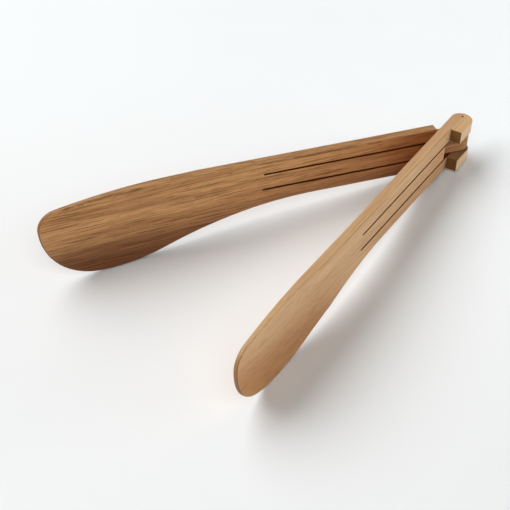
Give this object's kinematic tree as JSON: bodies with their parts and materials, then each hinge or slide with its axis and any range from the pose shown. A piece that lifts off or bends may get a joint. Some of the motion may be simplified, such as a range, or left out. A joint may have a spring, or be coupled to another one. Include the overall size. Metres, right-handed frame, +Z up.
{
  "type": "print tongs",
  "caption": "Self-sprung wooden tongs with broad paddle tips: slotted arms interlock on a thin pin, and sawn spring leaves push them open.",
  "frame": {"origin": "middle of the footprint's box, on the surface that the open tongs stand on", "axes": "+X from the hinge towards the paddle tips, along the middle of the opening; +Z up"},
  "size_m": [0.2778, 0.1672, 0.0539],
  "materials": {
    "arm_wood": "oiled, satin",
    "block_wood": "oiled, satin",
    "pin_steel": "dull"
  },
  "bodies": {
    "fork_arm": {"fork_arm": "arm_wood", "upper_knuckle_block": "block_wood", "lower_knuckle_block": "block_wood", "hinge_pin": "pin_steel"},
    "fork_spring": {"fork_spring": "arm_wood"},
    "tongue_arm": {"tongue_arm": "arm_wood", "middle_knuckle_block": "block_wood"},
    "upper_spring": {"upper_spring": "arm_wood"},
    "lower_spring": {"lower_spring": "arm_wood"}
  },
  "joints": [
    {"name": "tongs_hinge", "type": "hinge", "parent": "fork_arm", "child": "tongue_arm", "pos_m": [-0.13298, -0.00109, 0.01465], "axis": [-0.1153, 0, 0.9933], "range_deg": [0, 30], "stiffness_Nm_per_rad": 6},
    {"name": "fork_spring_flex", "type": "hinge", "parent": "fork_arm", "child": "fork_spring", "pos_m": [-0.00096, 0.04292, 0.02997], "axis": [0.1153, 0, -0.9933], "range_deg": [0, 6.35]},
    {"name": "upper_spring_flex", "type": "hinge", "parent": "tongue_arm", "child": "upper_spring", "pos_m": [-0.00025, -0.04292, 0.03006], "axis": [-0.1153, 0, 0.9933], "range_deg": [0, 6.35]},
    {"name": "lower_spring_flex", "type": "hinge", "parent": "tongue_arm", "child": "lower_spring", "pos_m": [-0.00025, -0.04292, 0.03006], "axis": [-0.1153, 0, 0.9933], "range_deg": [0, 6.35]}
  ],
  "couplings": [
    {"joint": "fork_spring_flex", "follows": "tongs_hinge", "ratio": 0.21},
    {"joint": "upper_spring_flex", "follows": "tongs_hinge", "ratio": 0.21},
    {"joint": "lower_spring_flex", "follows": "tongs_hinge", "ratio": 0.21}
  ]
}
